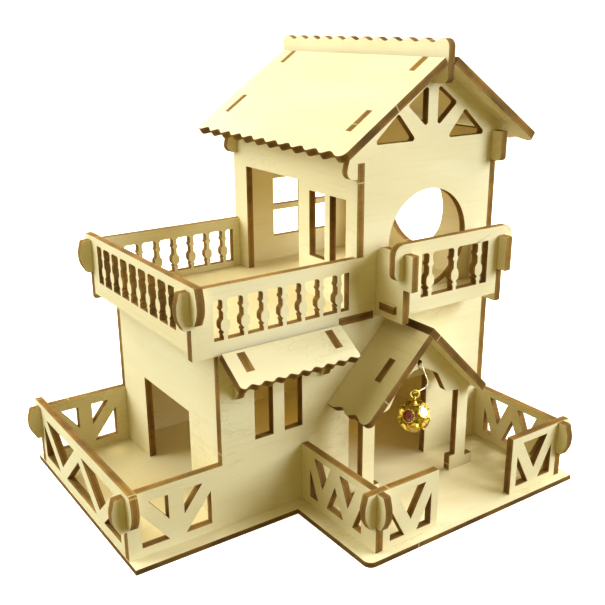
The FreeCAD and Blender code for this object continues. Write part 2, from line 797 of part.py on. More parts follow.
def nook_front_board():
    low = floor_low + nook_front_rise
    high = low + nook_front_high
    ear_level = floor_low + nook_lap - nook_front_drop
    start = middle - nook_opening / 2
    openings = turned_openings(start, start + nook_opening, low + nook_sill, low + nook_head,
                               nook_balusters, nook_pitch)
    inner = nook_width / 2 - ply
    outer = nook_width / 2 + nook_ear
    right = [(inner, low), (inner, ear_level), (outer, ear_level, nook_front_round),
             (outer, high, nook_corner)]
    corners = [(middle + corner[0],) + corner[1:] for corner in right]
    corners += [(middle - corner[0],) + corner[1:] for corner in right[::-1]]
    return board("y", nook_front, corners, openings)


def nook_floor():
    low = floor_low + nook_floor_rise
    left = nook_left + ply
    front = nook_front + ply
    reach = ply + 1.2
    start, end = nook_floor_tab
    corners = [(left, front), (nook_right, front), (nook_right, start), (nook_right + reach, start),
               (nook_right + reach, end), (nook_right, end), (nook_right, 0.0), (left, 0.0),
               (left, end), (left - reach, end), (left - reach, start), (left, start)]
    return board("z", low, corners)


# ---------------------------------------------------------------- hanging ornament
hole_level = ground + hook_hole_rise
wire_front = porch_board - hook_front


def bent_wire(points, radius, sizes):
    """Round wire through points, each bend rounded to its own size."""
    edges = []
    start = points[0]
    for before, corner, after, size in zip(points, points[1:], points[2:], sizes):
        back_way = (before - corner).normalize()
        on_way = (after - corner).normalize()
        half = back_way.getAngle(on_way) / 2
        reach = size / tan(half)
        crown = corner + (back_way + on_way).normalize() * (size / sin(half) - size)
        edges.append(Part.LineSegment(start, corner + back_way * reach).toShape())
        edges.append(Part.Arc(corner + back_way * reach, crown, corner + on_way * reach).toShape())
        start = corner + on_way * reach
    edges.append(Part.LineSegment(start, points[-1]).toShape())
    path = Part.Wire(edges)
    section = Part.Wire(Part.makeCircle(radius, points[0], points[1] - points[0]))
    return path.makePipeShell([section], True, False)


def ornament_hook():
    """Wire that hangs behind the arch, comes through the hole and curls to the left for the ring."""
    level = hole_level - hook_rest
    rear = porch_board + ply + hook_front
    points = [Vector(porch_middle, rear, level - hook_tail), Vector(porch_middle, rear, level)]
    points.append(Vector(porch_middle, wire_front, level))
    for right, below in hook_bends:
        points.append(Vector(porch_middle + right, wire_front, hole_level - below))
    return bent_wire(points, wire, (0.8, 0.8, 2.2, 1.5))


ring_gap = 0.3
ring_x = porch_middle - hook_lean
ring_level = hole_level - hook_bends[-1][1] - (ring - ring_wire - wire - ring_gap)
ring_facing = Vector(-sin(radians(ring_turn)), -cos(radians(ring_turn)), 0)
ring_across = Vector(cos(radians(ring_turn)), -sin(radians(ring_turn)), 0)
ball_level = hole_level - ball_drop


def ornament_ring():
    centre = Vector(ring_x, wire_front, ring_level)
    return Part.makeTorus(ring, ring_wire, centre, ring_facing)


def stone_places():
    """Directions from the ball's centre to its stones: one row above the middle and one below."""
    places = []
    for rise, first in stone_rows:
        out = cos(radians(rise))
        up = sin(radians(rise))
        for count in range(stones_in_row):
            turn = radians(first + 360 / stones_in_row * count)
            places.append(Vector(out * cos(turn), out * sin(turn), up))
    return places


def ornament_ball():
    """The bauble's metal shell: a ball with a seat for each stone, and an eye for the ring on top."""
    centre = Vector(ring_x, wire_front, ball_level)
    shell = Part.makeSphere(ball - 0.3, centre)
    for way in stone_places():
        seat = Part.makeCylinder(stone + 0.25, stone_height + 0.3, centre + way * (ball - stone_height), way)
        shell = shell.fuse(seat)
    for way in stone_places():
        shell = shell.cut(Part.makeCylinder(stone, 3.0, centre + way * (ball - stone_height + 0.2), way))
    foot = ball_level + ball - 0.9
    eye_level = ring_level - ring + ring_wire + eye_wire + 0.3 - eye
    neck = Part.makeCone(1.6, 0.5, eye_level - eye - foot, Vector(ring_x, wire_front, foot))
    loop = Part.makeTorus(eye, eye_wire, Vector(ring_x, wire_front, eye_level), ring_across)
    return shell.fuse(neck).fuse(loop)


def ornament_stones():
    """Cut stones, each a cone on a short drum, in their seats."""
    centre = Vector(ring_x, wire_front, ball_level)
    stones = []
    for way in stone_places():
        seat = centre + way * (ball - stone_height + 0.2)
        drum = Part.makeCylinder(stone - 0.02, stone_height, seat, way)
        crown = Part.makeCone(stone - 0.02, stone * 0.55, 0.5, seat + way * stone_height, way)
        stones.append(drum.fuse(crown).removeSplitter())
    return Part.makeCompound(stones)


# ---------------------------------------------------------------- putting it together
parts = {
    "base_plate": base_board(),
    "front_facade": facade(),
    "back_wall": back_wall(),
    "right_wall": right_side(),
    "lower_left_wall": lower_left(),
    "upper_left_wall": upper_left(),
    "upper_floor": upper_floor(),
    "balcony_side_rail": side_rail(),
    "terrace_side_fence": terrace_side(),
    "porch_left_fence": porch_left_side(),
    "porch_front_fence_left": porch_front_fence(porch_left, porch_left + left_panel),
    "porch_front_fence_right": porch_front_fence(house_width - right_panel, house_width),
    "porch_front": porch_front(),
    "porch_roof_left": porch_roof(-1),
    "porch_roof_right": porch_roof(1),
    "awning": awning(),
    "awning_bracket_left": awning_bracket(bracket_starts[0]),
    "awning_bracket_right": awning_bracket(bracket_starts[1]),
    "main_roof_left": main_roof(-1),
    "main_roof_right": main_roof(1),
    "ridge_board": ridge_board(),
    "small_balcony_floor": nook_floor(),
    "small_balcony_front": nook_front_board(),
    "small_balcony_left_side": nook_side_board(nook_left),
    "small_balcony_right_side": nook_side_board(nook_right),
    "ornament_hook": ornament_hook(),
    "ornament_ring": ornament_ring(),
    "ornament_ball": ornament_ball(),
    "ornament_stones": ornament_stones(),
}


def lap(lower, upper, x, y, level):
    parts[lower], parts[upper] = half_lap(parts[lower], parts[upper], x, y, level)


lap("front_facade", "terrace_side_fence", -terrace, 0.0, fence_mid)
lap("back_wall", "terrace_side_fence", -terrace, back, fence_mid)
lap("front_facade", "balcony_side_rail", -balcony, 0.0, rail_mid)
lap("back_wall", "balcony_side_rail", -balcony, back, rail_mid)
lap("porch_left_fence", "porch_front_fence_left", porch_left, porch_fence_front, fence_mid)
lap("right_wall", "porch_front_fence_right", right_wall, porch_fence_front, fence_mid)
lap("front_facade", "ridge_board", middle - ply / 2, 0.0, peak - ridge_lap)
lap("back_wall", "ridge_board", middle - ply / 2, back, peak - ridge_lap)
lap("small_balcony_left_side", "small_balcony_front", nook_left, nook_front, floor_low + nook_lap)
lap("small_balcony_right_side", "small_balcony_front", nook_right, nook_front, floor_low + nook_lap)

# where the tabs stand: centres along each board
fence_tab = -terrace * 2 / 3
post = (post_inner + post_outer) / 2
depth_tabs = (house_depth * 0.23, house_depth * 0.76)
standing = (
    ("front_facade", "y", 0.0, (fence_tab, 3.65, porch_left + 11.4, house_width - 16.9)),
    ("back_wall", "y", back, (fence_tab, house_width * 0.16, house_width * 0.5, house_width * 0.84)),
    ("right_wall", "x", right_wall, (-porch_depth / 2,) + depth_tabs),
    ("lower_left_wall", "x", left_wall, (house_depth * 0.15, house_depth * 0.84)),
    ("terrace_side_fence", "x", -terrace, depth_tabs),
    ("porch_left_fence", "x", porch_left, (-porch_depth / 2,)),
    ("porch_front_fence_left", "y", porch_fence_front, (porch_left + left_panel * 0.58,)),
    ("porch_front_fence_right", "y", porch_fence_front, (house_width - right_panel * 0.56,)),
    ("porch_front", "y", porch_board, (porch_middle - post, porch_middle + post)),
)
for name, normal, level, centres in standing:
    parts[name], parts["base_plate"] = with_tabs(parts[name], parts["base_plate"], normal, level, centres)

# the origin: under the middle of the whole, on the underside of the base
whole = Part.makeCompound(list(parts.values())).optimalBoundingBox(False, False)
shift = Vector(-whole.Center.x, -whole.Center.y, 0)
print("moved by", round(shift.x, 4), round(shift.y, 4))

os.makedirs("parts", exist_ok=True)
for name, shape in parts.items():
    shape.translate(shift)
    shape.exportStep("parts/" + name + ".step")
    print(name, len(shape.Solids), round(shape.Volume, 1), shape.isValid())
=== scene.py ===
import bpy
from math import cos, pi, radians, sin
from mathutils import Matrix, Vector


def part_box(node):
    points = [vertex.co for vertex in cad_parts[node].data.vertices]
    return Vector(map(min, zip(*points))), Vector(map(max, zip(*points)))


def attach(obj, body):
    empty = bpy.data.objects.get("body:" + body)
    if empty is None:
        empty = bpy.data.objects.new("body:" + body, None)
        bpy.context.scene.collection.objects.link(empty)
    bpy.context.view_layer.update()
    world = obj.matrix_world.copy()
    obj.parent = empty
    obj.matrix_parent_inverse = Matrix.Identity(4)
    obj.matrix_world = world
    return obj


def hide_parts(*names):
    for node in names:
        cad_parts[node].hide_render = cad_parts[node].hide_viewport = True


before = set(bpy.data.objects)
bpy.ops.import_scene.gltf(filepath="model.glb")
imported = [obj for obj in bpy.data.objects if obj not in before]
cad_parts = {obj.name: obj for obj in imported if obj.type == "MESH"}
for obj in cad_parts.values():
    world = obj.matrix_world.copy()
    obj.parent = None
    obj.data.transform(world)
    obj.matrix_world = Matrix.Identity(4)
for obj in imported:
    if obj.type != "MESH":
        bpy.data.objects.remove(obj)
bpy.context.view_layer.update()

# It lies flat, and its slots grip the tabs of every wall and fence. As on all the boards
# the faces are bare and pale, and the laser left the cut edges brown.


class Value:
    """A number, colour or vector on its way between a finish's nodes."""

    def __init__(self, finish, socket):
        self.finish = finish
        self.socket = socket

    def maths(self, operation, *values):
        return self.finish.node("ShaderNodeMath", {"operation": operation}, dict(enumerate(values)))

    def __add__(self, other):
        return self.maths("ADD", self, other)

    def __sub__(self, other):
        return self.maths("SUBTRACT", self, other)

    def __rsub__(self, other):
        return self.maths("SUBTRACT", other, self)

    def __mul__(self, other):
        return self.maths("MULTIPLY", self, other)

    def __truediv__(self, other):
        return self.maths("DIVIDE", self, other)

    __radd__ = __add__
    __rmul__ = __mul__

    def size(self):
        return self.maths("ABSOLUTE", self)

    def fraction(self):
        return self.maths("FRACT", self)

    def between(self, low, high):
        """0 at low and 1 at high, and smooth in between."""
        settings = {"interpolation_type": "SMOOTHSTEP"}
        return self.finish.node("ShaderNodeMapRange", settings, {0: self, 1: low, 2: high})

    def line(self, level, core, reach):
        """1 within core of the level, 0 further than reach from it, and smooth in between."""
        return 1 - (self - level).size().between(core, reach)


class Finish:
    """One material and the nodes behind it."""

    def __init__(self, name, roughness, metallic=0.0):
        self.material = bpy.data.materials.new(name)
        self.material.use_nodes = True
        self.nodes = self.material.node_tree.nodes
        self.links = self.material.node_tree.links
        self.shader = self.nodes["Principled BSDF"]
        self.shader.inputs["Roughness"].default_value = roughness
        self.shader.inputs["Metallic"].default_value = metallic

    def node(self, kind, settings, inputs, output=0):
        made = self.nodes.new(kind)
        for name, setting in settings.items():
            setattr(made, name, setting)
        for socket, value in inputs.items():
            self.set(made.inputs[socket], value)
        return Value(self, made.outputs[output])

    def set(self, socket, value):
        if isinstance(value, Value):
            self.links.new(value.socket, socket)
        elif isinstance(value, (tuple, Vector)) and len(value) == 3 and socket.type == "RGBA":
            socket.default_value = (*value, 1)
        else:
            socket.default_value = value

    def give(self, name, value):
        self.set(self.shader.inputs[name], value)

    def place(self):
        return self.node("ShaderNodeTexCoord", {}, {}, "Object")

    def facing(self):
        return self.node("ShaderNodeNewGeometry", {}, {}, "Normal")

    def along(self, vector, direction):
        settings = {"operation": "DOT_PRODUCT"}
        return self.node("ShaderNodeVectorMath", settings, {0: vector, 1: Vector(direction)}, "Value")

    def vector(self, x, y, z):
        return self.node("ShaderNodeCombineXYZ", {}, {0: x, 1: y, 2: z})

    def enlarged(self, times):
        """The place, with so many of the pattern's units to a metre."""
        return self.node("ShaderNodeVectorMath", {"operation": "SCALE"}, {0: self.place(), 3: times})

    def noise(self, vector, detail=3.0, distortion=0.0):
        inputs = {"Vector": vector, "Scale": 1.0, "Detail": detail, "Distortion": distortion}
        return self.node("ShaderNodeTexNoise", {}, inputs, "Fac")

    def pattern(self, axes, waves, detail, distortion=0.0):
        """Noise with its own number of waves to a metre along each of the axes."""
        stretched = self.vector(*(axis * count for axis, count in zip(axes, waves)))
        return self.noise(stretched, detail, distortion)

    def mix(self, share, first, second):
        settings = {"data_type": "RGBA"}
        return self.node("ShaderNodeMix", settings, {0: share, 6: first, 7: second}, 2)

    def bump(self, height, distance, strength=1.0):
        inputs = {"Height": height, "Distance": distance, "Strength": strength}
        self.give("Normal", self.node("ShaderNodeBump", {}, inputs))


pale_wood = (0.83, 0.765, 0.545)
warm_wood = (0.78, 0.695, 0.455)
grain_line = (0.58, 0.45, 0.23)
scorched = (0.33, 0.19, 0.065)
toasted = (0.38, 0.225, 0.058)      # a cut edge where the laser ran fast
burnt = (0.105, 0.056, 0.017)       # and where it lingered
nick = (0.80, 0.66, 0.38)           # a spot left uncut to hold the board in its sheet
nick_pitch = 0.091
nick_width = 0.0004
nick_fade = 1.6                     # where its soft end ends, in nick widths
lower_joint = 0.335                 # the glue lines between the plies, as shares of the thickness
upper_joint = 0.665
joint_blur = 0.025
glue_core = 0.018                   # half the width of a glue line where it is darkest
glue_reach = 0.0455                 # and where its soft rim ends
middle_char = 0.28                  # the middle ply shows end grain, which chars darker
# waves to a metre along the grain, over it and through the board
clouds_in_wood = (13, 40, 40)
streaks_in_wood = (42, 850, 200)
pores_in_wood = (260, 2400, 300)
waves_in_wood = (48, 120, 50)
patches_in_wood = (24, 24, 24)
patch_start = 0.375                 # metres along the grain from the clouds to the figure's patches
laser_ribs = (1500, 1500, 60)
scorch_marks = (75, 75, 160)
# how strongly each mark shows, first on a face and then on a cut edge
streak_strength = 0.26
pore_strength = 0.18
figure_strength = 0.22
figure_half = 0.025                 # half the width of a figure line, in the height of its waves
rim_strength = 0.85
scorch_strength = 0.62
rib_strength = 0.25
glue_strength = 0.35
nick_strength = 0.5
bare_roughness = 0.56
streak_roughness = 0.12             # more in the streaks, and on the cut edges
cut_roughness = 0.14
relief = 0.0001
shift_over_grain = 0.37             # of a board's shift along the grain


def plywood(name, across, grain, low, high, shift, char):
    """Three-ply board from low to high along across, its grain along grain, its edges charred."""
    finish = Finish(name, bare_roughness)
    finish.shader.inputs["Specular IOR Level"].default_value = 0.12
    sideways = across.cross(grain)
    place = finish.place()
    down_grain = finish.along(place, grain) + shift
    over_grain = finish.along(place, sideways) + shift * shift_over_grain
    through = finish.along(place, across)
    ways = (down_grain, over_grain, through)
    # faces: soft clouds, hair-fine streaks, short pores and a few wavy lines of figure
    clouds = finish.pattern(ways, clouds_in_wood, 2.0)
    streaks = finish.pattern(ways, streaks_in_wood, 4.0)
    pores = finish.pattern(ways, pores_in_wood, 2.0)
    waves = finish.pattern(ways, waves_in_wood, 3.0, 1.2)
    patches = finish.pattern((down_grain + patch_start, over_grain, through), patches_in_wood, 1.0)
    figure = waves.line(0.5, 0.0, figure_half) * patches.between(0.54, 0.66)
    face = finish.mix(clouds.between(0.3, 0.72), pale_wood, warm_wood)
    face = finish.mix(streaks.between(0.48, 0.95) * streak_strength, face, grain_line)
    face = finish.mix(pores.between(0.64, 0.8) * pore_strength, face, grain_line)
    face = finish.mix(figure * figure_strength, face, grain_line)
    # cut edges: the laser's fine ribs, the glue lines and the darker middle ply
    depth = (through - low) / (high - low)
    ribs = finish.pattern(ways, laser_ribs, 2.0)
    scorch = finish.pattern(ways, scorch_marks, 3.0)
    middle = depth.between(lower_joint - joint_blur, lower_joint + joint_blur)
    middle = middle * (1 - depth.between(upper_joint - joint_blur, upper_joint + joint_blur))
    glue = depth.line(lower_joint, glue_core, glue_reach) + depth.line(upper_joint, glue_core, glue_reach)
    edge = finish.mix((scorch.between(0.34, 0.70) + char) * scorch_strength, toasted, burnt)
    dark = middle * middle_char + ribs.between(0.45, 0.8) * rib_strength + glue * glue_strength
    edge = finish.mix(dark, edge, burnt)
    # nicks: pale lines across the cut edges, both along the grain and over it
    facing = finish.facing()
    nick_share = nick_width / nick_pitch
    held = 0
    for way, outward in ((down_grain, sideways), (over_grain, grain)):
        spot = 1 - (way / nick_pitch).fraction().between(nick_share, nick_share * nick_fade)
        held = spot * finish.along(facing, outward).size().between(0.6, 0.9) + held
    edge = finish.mix(held * nick_strength, edge, nick)
    # the rounded rim is scorched, and what faces sideways is cut edge
    turned = finish.along(facing, across).size()
    rim = 1 - turned.between(0.80, 0.99)
    cut = 1 - turned.between(0.30, 0.80)
    face = finish.mix(rim * rim_strength, face, scorched)
    finish.give("Base Color", finish.mix(cut, face, edge))
    finish.give("Roughness", bare_roughness + streaks * streak_roughness + cut * cut_roughness)
    finish.bump(streaks * 0.5 + pores * 0.2 + ribs * cut * 0.8, relief, 0.5)
    return finish.material


edge_round = 0.00017        # how far the char rounds a sharp edge
board_shift = 0.083         # moves the figure on from one board to the next
boards = []


def edit_all():
    """Takes the active piece into edit mode with everything selected."""
    bpy.ops.object.mode_set(mode="EDIT")
    bpy.ops.mesh.select_all(action="SELECT")


def pick(piece, wanted):
    """Takes a piece into edit mode with only the faces selected that are wanted."""
    bpy.ops.object.mode_set(mode="EDIT")
    bpy.ops.mesh.select_mode(type="FACE")
    bpy.ops.mesh.select_all(action="DESELECT")
    bpy.ops.object.mode_set(mode="OBJECT")
    for face in piece.data.polygons:
        face.select = wanted(face.center, face.normal)
    bpy.ops.object.mode_set(mode="EDIT")


def cut_board(node, across, grain, char=0.0, in_triangles=False):
    """A plywood board with its node's shape and very slightly rounded edges, its faces flat.

    More char makes its cut edges darker. A board with narrow gaps is rounded in triangles,
    so that none of its faces spans a gap.
    """
    bpy.ops.object.select_all(action="DESELECT")
    board = bpy.data.objects.new(node + "_board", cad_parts[node].data.copy())
    bpy.context.scene.collection.objects.link(board)
    bpy.context.view_layer.objects.active = board
    board.select_set(True)
    edit_all()
    bpy.ops.mesh.remove_doubles(threshold=0.000005)
    bpy.ops.mesh.dissolve_limited(angle_limit=radians(0.6))
    if in_triangles:
        bpy.ops.mesh.select_all(action="SELECT")
        bpy.ops.mesh.quads_convert_to_tris(ngon_method="BEAUTY")
    bpy.ops.object.mode_set(mode="OBJECT")
    across = Vector(across).normalized()
    levels = [corner.co.dot(across) for corner in board.data.vertices]
    rounding = board.modifiers.new("rounding", "BEVEL")
    rounding.width = edge_round
    rounding.segments = 2
    rounding.limit_method = "ANGLE"
    rounding.angle_limit = radians(40)
    rounding.use_clamp_overlap = not in_triangles
    bpy.ops.object.modifier_apply(modifier="rounding")
    pick(board, lambda middle, normal: abs(normal.dot(across)) > 0.999)
    bpy.ops.mesh.region_to_loop()
    bpy.ops.mesh.mark_sharp()
    bpy.ops.object.mode_set(mode="OBJECT")
    bpy.ops.object.shade_smooth_by_angle(angle=radians(20))
    shift = board_shift * len(boards)
    grain = Vector(grain).normalized()
    board.data.materials.clear()
    board.data.materials.append(plywood(node + "_ply", across, grain, min(levels), max(levels), shift, char))
    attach(board, "house")
    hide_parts(node)
    boards.append(board)


flat = (0, 0, 1)
to_front = (0, 1, 0)
to_side = (1, 0, 0)
cut_board("base_plate", flat, to_side, char=0.6)

# ---------------------------------------------------------------- facade and back wall
# Two sheets carry the house. The facade is fence end, lower wall, balcony rail and gable
# in one, and the back wall has the same outline. Both are cut from 3 mm plywood with the
# grain lying level, and stand in the base board's slots.

cut_board("front_facade", to_front, to_side)
cut_board("back_wall", to_front, to_side)

# ---------------------------------------------------------------- side walls and upper floor
# The three side walls plug between facade and back wall, and the right one runs on
# forward as the porch's fence. The upper floor lies on the lower walls and comes out on
# the left as the balcony. Same plywood; tabs and cross-laps hold them without glue.

for node in ("right_wall", "lower_left_wall", "upper_left_wall"):
    cut_board(node, to_side, to_front)
cut_board("upper_floor", flat, to_side)

# ---------------------------------------------------------------- rails and fences
# Balustrade of the balcony and the fences of terrace and porch, cut through with turned
# balusters or with triangles. Their barrel-shaped ends cross the next board in half-laps.

cut_board("balcony_side_rail", to_side, to_front)
cut_board("terrace_side_fence", to_side, to_front)
cut_board("porch_left_fence", to_side, to_front)
cut_board("porch_front_fence_left", to_front, to_side)
cut_board("porch_front_fence_right", to_front, to_side)

# ---------------------------------------------------------------- porch front and its roof
# Two posts, the arch and the small gable are one sheet, pushed down into the base board.
# The two roof boards lean on it and on the facade at 45 degrees, with a slot each for a
# tab, and their lower edges are cut in waves.

cut_board("porch_front", to_front, to_side)
porch_pitch = radians(45)
cut_board("porch_roof_left", (-sin(porch_pitch), 0, cos(porch_pitch)), to_front, char=0.4)
cut_board("porch_roof_right", (sin(porch_pitch), 0, cos(porch_pitch)), to_front, char=0.4)

# ---------------------------------------------------------------- awning
# One sloped board over the two lower windows with a wavy front edge. It sits on two
# small brackets, whose tabs show in its slots.

awning_pitch = radians(33.5)
cut_board("awning", (0, -sin(awning_pitch), cos(awning_pitch)), to_side, char=0.3)
cut_board("awning_bracket_left", to_side, to_front)
cut_board("awning_bracket_right", to_side, to_front)

# ---------------------------------------------------------------- main roof
# Two boards rest on the gables, each with four slots over the walls' tabs and a wavy
# eave. The ridge board stands between them on edge, its top cut in scallops.

roof_pitch = radians(34.24)
cut_board("main_roof_left", (-sin(roof_pitch), 0, cos(roof_pitch)), to_front, char=0.5)
cut_board("main_roof_right", (sin(roof_pitch), 0, cos(roof_pitch)), to_front, char=0.5)
cut_board("ridge_board", to_side, to_front, char=0.5)

# ---------------------------------------------------------------- small balcony
# Under the round window hangs a small balcony: a floor that plugs into the facade, two
# side boards and a balustrade across the front, crossed at the corners like the fences.

cut_board("small_balcony_floor", flat, to_side)
cut_board("small_balcony_front", to_front, to_side, in_triangles=True)
cut_board("small_balcony_left_side", to_side, to_front)
cut_board("small_balcony_right_side", to_side, to_front)

# ---------------------------------------------------------------- hook and ring
# Gilt brass wire. The hook hangs behind the arch, comes through the hole and curls to
# the left, where a round ring hangs on it. Its bright gilding has gone a little deeper
# in patches.


def gilding(name, roughness, light, deep):
    """Gilt metal, deeper where it has tarnished and a little uneven under the gold."""
    finish = Finish(name, roughness, 1.0)
    tarnish = finish.noise(finish.enlarged(900.0))
    finish.give("Base Color", finish.mix(tarnish.between(0.35, 0.7), light, deep))
    finish.give("Roughness", roughness + tarnish * 0.15)
    finish.bump(tarnish, 0.00003, 0.4)
    return finish.material


bright_gold = gilding("bright_gold", 0.18, (0.80, 0.63, 0.15), (0.46, 0.33, 0.04))
pale_brass = gilding("pale_brass", 0.20, (0.66, 0.60, 0.46), (0.38, 0.33, 0.20))


def drawn_wire(node, body, finish):
    """A wire piece with its node's shape, its skin smoothed."""
    bpy.ops.object.select_all(action="DESELECT")
    wire = bpy.data.objects.new(node + "_wire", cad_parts[node].data.copy())
    bpy.context.scene.collection.objects.link(wire)
    bpy.context.view_layer.objects.active = wire
    wire.select_set(True)
    edit_all()
    bpy.ops.mesh.remove_doubles(threshold=0.000002)
    bpy.ops.object.mode_set(mode="OBJECT")
    bpy.ops.object.shade_smooth_by_angle(angle=radians(50))
    wire.data.materials.clear()
    wire.data.materials.append(finish)
    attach(wire, body)
    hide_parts(node)


drawn_wire("ornament_hook", "hook", pale_brass)
drawn_wire("ornament_ring", "bauble", bright_gold)

# ---------------------------------------------------------------- bauble
# A ball of gilt filigree, pressed from thin brass, with a collar and a wire eye on top.
# Two rows of five cups stand on it, each with a beaded rim and four claws that are bent
# over its stone.

mm = 0.001
ball = 5.2 * mm             # the filigree ball's radius under the cups
net_sunk = 0.25 * mm        # the net lies this far inside that radius
rib = 0.09 * mm             # half the width of the net's ribs
cell_depth = 0.16 * mm
stone = 2.25 * mm
girdle = 0.3 * mm           # height of the stone's upright sides
point = 0.65 * mm           # and of its lower part
cup_wall = 0.22 * mm
cup_foot = 4.5 * mm         # from the ball's centre
cup_rim = 5.75 * mm
bead = 0.25 * mm
beads = 15
bead_height = 0.85          # of its width
claw = 0.34 * mm
claws = 4
claw_bend = (-0.22 * mm, 0, 0.16 * mm)
claw_tip = 0.7              # of its foot's width
cup_round = 0.06 * mm       # how round the wall's edges are
stones_in_row = 5
stone_rows = ((26, -151), (-32, -142))    # degrees above the middle, and round to the first stone
ring_low, ring_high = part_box("ornament_ring")
ring_middle = (Vector(ring_low) + Vector(ring_high)) / 2
ball_middle = Vector((ring_middle.x, ring_middle.y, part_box("ornament_ball")[0][2] + ball))
dark_gold = gilding("dark_gold", 0.34, (0.52, 0.39, 0.07), (0.18, 0.12, 0.02))
askew = Matrix.Rotation(radians(12), 3, Vector((-0.674, -0.738, 0)))    # how the ball hangs


def apply_modifier(piece, name, kind, **settings):
    """Adds a modifier to the active piece, sets it and applies it."""
    made = piece.modifiers.new(name, kind)
    for key, value in settings.items():
        setattr(made, key, value)
    bpy.ops.object.modifier_apply(modifier=name)


def highest(piece):
    """The height of a piece's top."""
    return max(corner.co.z for corner in piece.data.vertices)


def taper_up(width, rise):
    """Draws the picked faces up by rise, and in to a share of their width."""
    bpy.ops.mesh.extrude_region_move(TRANSFORM_OT_translate={"value": (0, 0, rise)})
    bpy.ops.transform.resize(value=(width, width, 1), center_override=(0, 0, 0))


def join(pieces, name):
    """Makes one piece of several, the first of which gives it its place."""
    bpy.ops.object.select_all(action="DESELECT")
    for piece in pieces:
        piece.select_set(True)
    bpy.context.view_layer.objects.active = pieces[0]
    bpy.ops.object.join()
    pieces[0].name = name
    return pieces[0]


def copied(piece, matrix, material=None):
    """A copy with its own mesh, moved in the mesh."""
    twin = bpy.data.objects.new(piece.name, piece.data.copy())
    twin.data.transform(matrix)
    bpy.context.scene.collection.objects.link(twin)
    if material:
        twin.data.materials.clear()
        twin.data.materials.append(material)
    return twin


# the filigree ball: a fine triangle net, each cell sunk between raised ribs
bpy.ops.object.select_all(action="DESELECT")
bpy.ops.mesh.primitive_ico_sphere_add(subdivisions=4, radius=ball - net_sunk)
net = bpy.context.object
edit_all()
bpy.ops.mesh.inset(thickness=rib, use_individual=True)
bpy.ops.transform.shrink_fatten(value=-cell_depth)
bpy.ops.object.mode_set(mode="OBJECT")
net.data.materials.append(dark_gold)
net.data.transform(Matrix.Translation(ball_middle))

# one cup: a thin round wall
bpy.ops.object.select_all(action="DESELECT")
bpy.ops.mesh.primitive_cylinder_add(vertices=28, radius=stone + 0.02 * mm, depth=cup_rim - cup_foot,
                                    end_fill_type="NOTHING", location=(0, 0, (cup_foot + cup_rim) / 2))
wall = bpy.context.object
bpy.ops.object.transform_apply(location=True, rotation=True, scale=True)
apply_modifier(wall, "gauge", "SOLIDIFY", thickness=cup_wall, offset=1.0)
apply_modifier(wall, "soft_edges", "BEVEL", width=cup_round, segments=2, limit_method="ANGLE")
cup = [wall]

# beads on its rim, a little flattened
bpy.ops.object.select_all(action="DESELECT")
bpy.ops.mesh.primitive_ico_sphere_add(subdivisions=2, radius=bead)
pearl = bpy.context.object
edit_all()
bpy.ops.transform.resize(value=(1, 1, bead_height))
bpy.ops.object.mode_set(mode="OBJECT")
bead_reach = stone + cup_wall * 0.75
for count in range(beads):
    turn = 2 * pi * count / beads
    seat = Vector((cos(turn) * bead_reach, sin(turn) * bead_reach, cup_rim - 0.05 * mm))
    cup.append(copied(pearl, Matrix.Translation(seat)))

# claws, drawn up and in over the stone
bpy.ops.object.select_all(action="DESELECT")
bpy.ops.mesh.primitive_cube_add(size=claw, location=(stone + 0.04 * mm, 0, cup_rim + 0.05 * mm))
prong = bpy.context.object
bpy.ops.object.transform_apply(location=True, rotation=True, scale=True)
pick(prong, lambda middle, normal: normal.z > 0.9)
bpy.ops.mesh.extrude_region_move(TRANSFORM_OT_translate={"value": claw_bend})
bpy.ops.transform.resize(value=(claw_tip, claw_tip, 1))
bpy.ops.object.mode_set(mode="OBJECT")
apply_modifier(prong, "worn", "SUBSURF", levels=2, render_levels=2)
for count in range(claws):
    cup.append(copied(prong, Matrix.Rotation(2 * pi * (count + 0.5) / claws, 4, "Z")))

for model in (pearl, prong):
    bpy.data.objects.remove(model)
for piece in cup:
    piece.data.materials.clear()
    piece.data.materials.append(bright_gold)
cup = join(cup, "cup")

# one cut stone: a sixteen-sided girdle, a crown of facets up to the table and a point below
girdle_sides = 16
half_side = pi / girdle_sides
bpy.ops.object.select_all(action="DESELECT")
bpy.ops.mesh.primitive_cylinder_add(vertices=girdle_sides, radius=stone - 0.03 * mm, depth=girdle,
                                    location=(0, 0, cup_rim - 0.25 * mm))
cut_stone = bpy.context.object
cut_stone.name = "cut_stone"
bpy.ops.object.transform_apply(location=True, rotation=True, scale=True)
for width, rise in ((0.86, 0.20 * mm), (0.74, 0.16 * mm), (0.86, 0.05 * mm)):
    top = highest(cut_stone)
    pick(cut_stone, lambda middle, normal: middle.z > top - 0.01 * mm)
    taper_up(width, rise)
    bpy.ops.transform.rotate(value=half_side, orient_axis="Z", center_override=(0, 0, 0))
    bpy.ops.object.mode_set(mode="OBJECT")
bottom = min(corner.co.z for corner in cut_stone.data.vertices)
pick(cut_stone, lambda middle, normal: middle.z < bottom + 0.01 * mm)
taper_up(0.2, -point)
bpy.ops.mesh.select_all(action="SELECT")
bpy.ops.mesh.quads_convert_to_tris()
bpy.ops.object.mode_set(mode="OBJECT")
bpy.ops.object.shade_flat()


# painted glint: the stones' colour changes with the way each facet faces, in place of real reflections
painted_glint_way = (0.61, 0.53, 0.59)      # the tones run from light to deep along this direction
painted_glint_steps = 3.7                   # so many times


